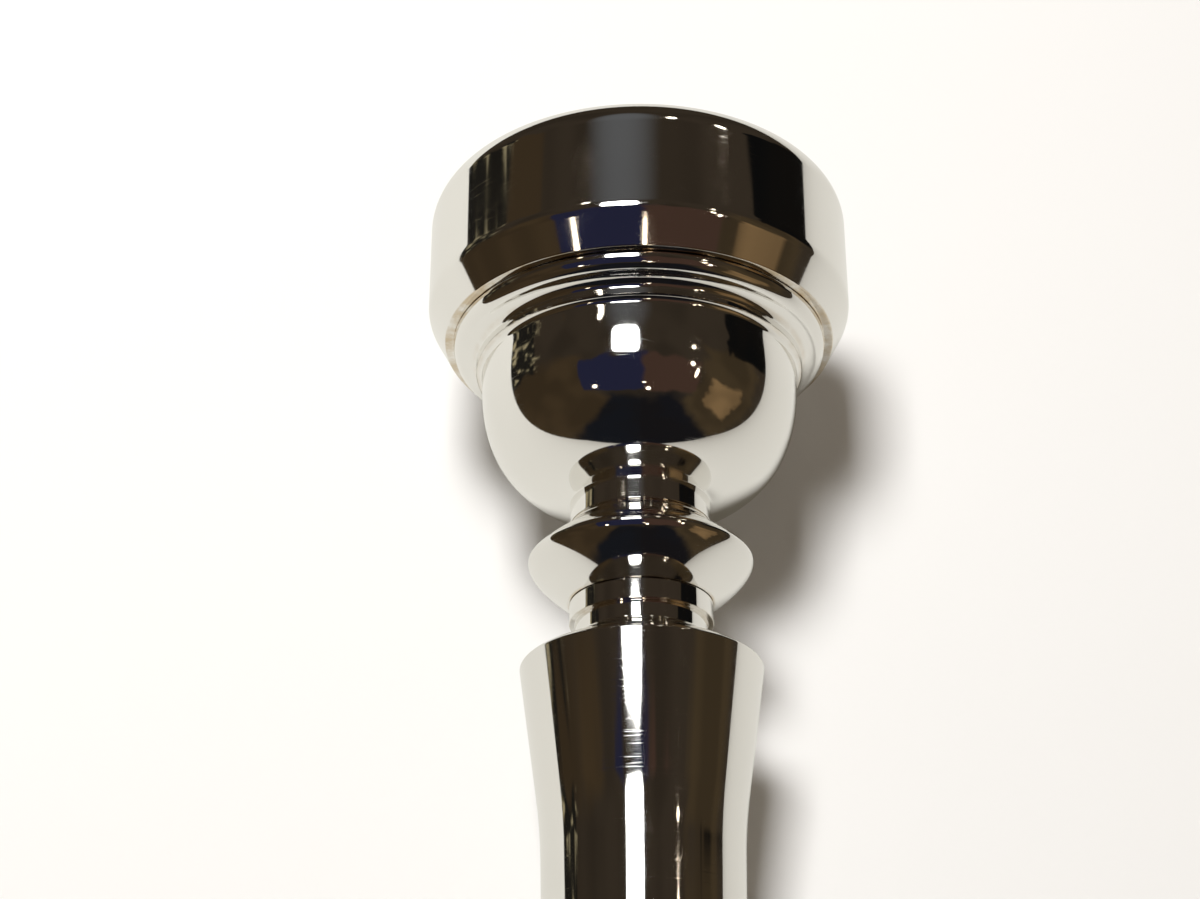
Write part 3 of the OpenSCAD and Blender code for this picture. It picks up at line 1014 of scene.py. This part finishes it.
def table_top(name, across, along, tilt, drop, material):
    """Flat top of the table, tilted under the frame."""
    deselect_all()
    bpy.ops.mesh.primitive_plane_add(size=1, location=(sum(across) / 2, sum(along) / 2, 0))
    table = bpy.context.object
    table.name = name
    table.scale = (across[1] - across[0], along[1] - along[0], 1)
    bpy.ops.object.transform_apply(location=True, scale=True)
    table.rotation_euler = (tilt, 0, 0)
    table.location = (0, 0, drop)
    table.data.materials.append(material)
    return table


def table_paint(name, rgb):
    """Pale laminate with a barely visible unevenness."""
    material, shader, wire = new_material(name)
    cloud = wire.noise(wire.node("ShaderNodeTexCoord", output="Object"), 40.0, 3.0)
    pale = [part * 0.985 for part in rgb]
    wire.mixed(cloud, opaque(rgb), opaque(pale)).into(shader, "Base Color")
    shader.inputs["Roughness"].default_value = 0.85
    shader.inputs["Specular IOR Level"].default_value = 0.1
    return material


class MOUTHPIECE_OT_stage(bpy.types.Operator):
    """Sets the table, the light and the camera"""
    bl_idname = "mouthpiece.stage"
    bl_label = "Stage"

    def execute(self, context):
        settings = context.scene.mouthpiece
        scene, stage, levels = context.scene, settings.stage, Levels(settings)

        # The part lies on the rim's lower edge and on the end of its shank
        shank_r = settings.stem.shank_end_d / 2
        rim_r = settings.rim.outside_d / 2
        tilt = math.atan2(shank_r - rim_r, levels.rim_face_foot - levels.stem_end)
        reach = (-TABLE_REACH, TABLE_REACH)
        table = table_top("table", reach, reach, tilt, -shank_r, table_paint("table", stage.table))
        table.visible_glossy = False
        # Painted shade: the metal shows only the table's near part, as a copy painted darker to stand in
        # for the part's own shade on it
        mirrored = table_top("table_painted_shade_mirror", MIRRORED_ACROSS, MIRRORED_ALONG, tilt,
                             MIRRORED_LIFT - shank_r, table_paint("table_painted_shade_mirror", stage.mirrored))
        mirrored.visible_camera = False
        mirrored.visible_diffuse = False
        mirrored.visible_shadow = False

        ceiling_panel(stage)
        light_the_room(scene, stage)

        bpy.ops.object.camera_add(location=stage.camera_place, rotation=(stage.camera_tilt, 0, 0))
        camera = context.object
        camera.data.lens = stage.lens
        camera.data.clip_start = NEAREST
        camera.data.clip_end = FARTHEST
        scene.camera = camera
        scene.view_settings.view_transform = "Standard"
        return {"FINISHED"}


class MOUTHPIECE_PT_pieces(bpy.types.Panel):
    """Lists the pieces and their settings"""
    bl_idname = "MOUTHPIECE_PT_pieces"
    bl_label = "Mouthpiece"
    bl_space_type = "VIEW_3D"
    bl_region_type = "UI"
    bl_category = "Mouthpiece"

    def draw(self, context):
        layout = self.layout
        for operator in OPERATORS:
            layout.operator(operator.bl_idname)
        settings = context.scene.mouthpiece
        for group in (settings.rim, settings.cup, settings.stem, settings.joints, settings.finish,
                      settings.stage):
            box = layout.box()
            for name in group.__annotations__:
                box.prop(group, name)


OPERATORS = (MOUTHPIECE_OT_rim, MOUTHPIECE_OT_cup, MOUTHPIECE_OT_stem, MOUTHPIECE_OT_seal_rings,
             MOUTHPIECE_OT_stage)
CLASSES = (MOUTHPIECE_PG_rim, MOUTHPIECE_PG_cup, MOUTHPIECE_PG_stem, MOUTHPIECE_PG_joints,
           MOUTHPIECE_PG_finish, MOUTHPIECE_PG_stage, MOUTHPIECE_PG_all, *OPERATORS,
           MOUTHPIECE_PT_pieces)


def register():
    """Adds the classes and the scene's settings."""
    for cls in CLASSES:
        bpy.utils.register_class(cls)
    bpy.types.Scene.mouthpiece = PointerProperty(type=MOUTHPIECE_PG_all)


def unregister():
    """Takes the settings and the classes away again."""
    del bpy.types.Scene.mouthpiece
    for cls in reversed(CLASSES):
        bpy.utils.unregister_class(cls)


def main():
    """Builds the pieces and the stage."""
    register()
    bpy.ops.mouthpiece.rim()
    bpy.ops.mouthpiece.cup()
    bpy.ops.mouthpiece.stem()
    bpy.ops.mouthpiece.seal_rings()
    bpy.ops.mouthpiece.stage()


if __name__ == "__main__":
    main()
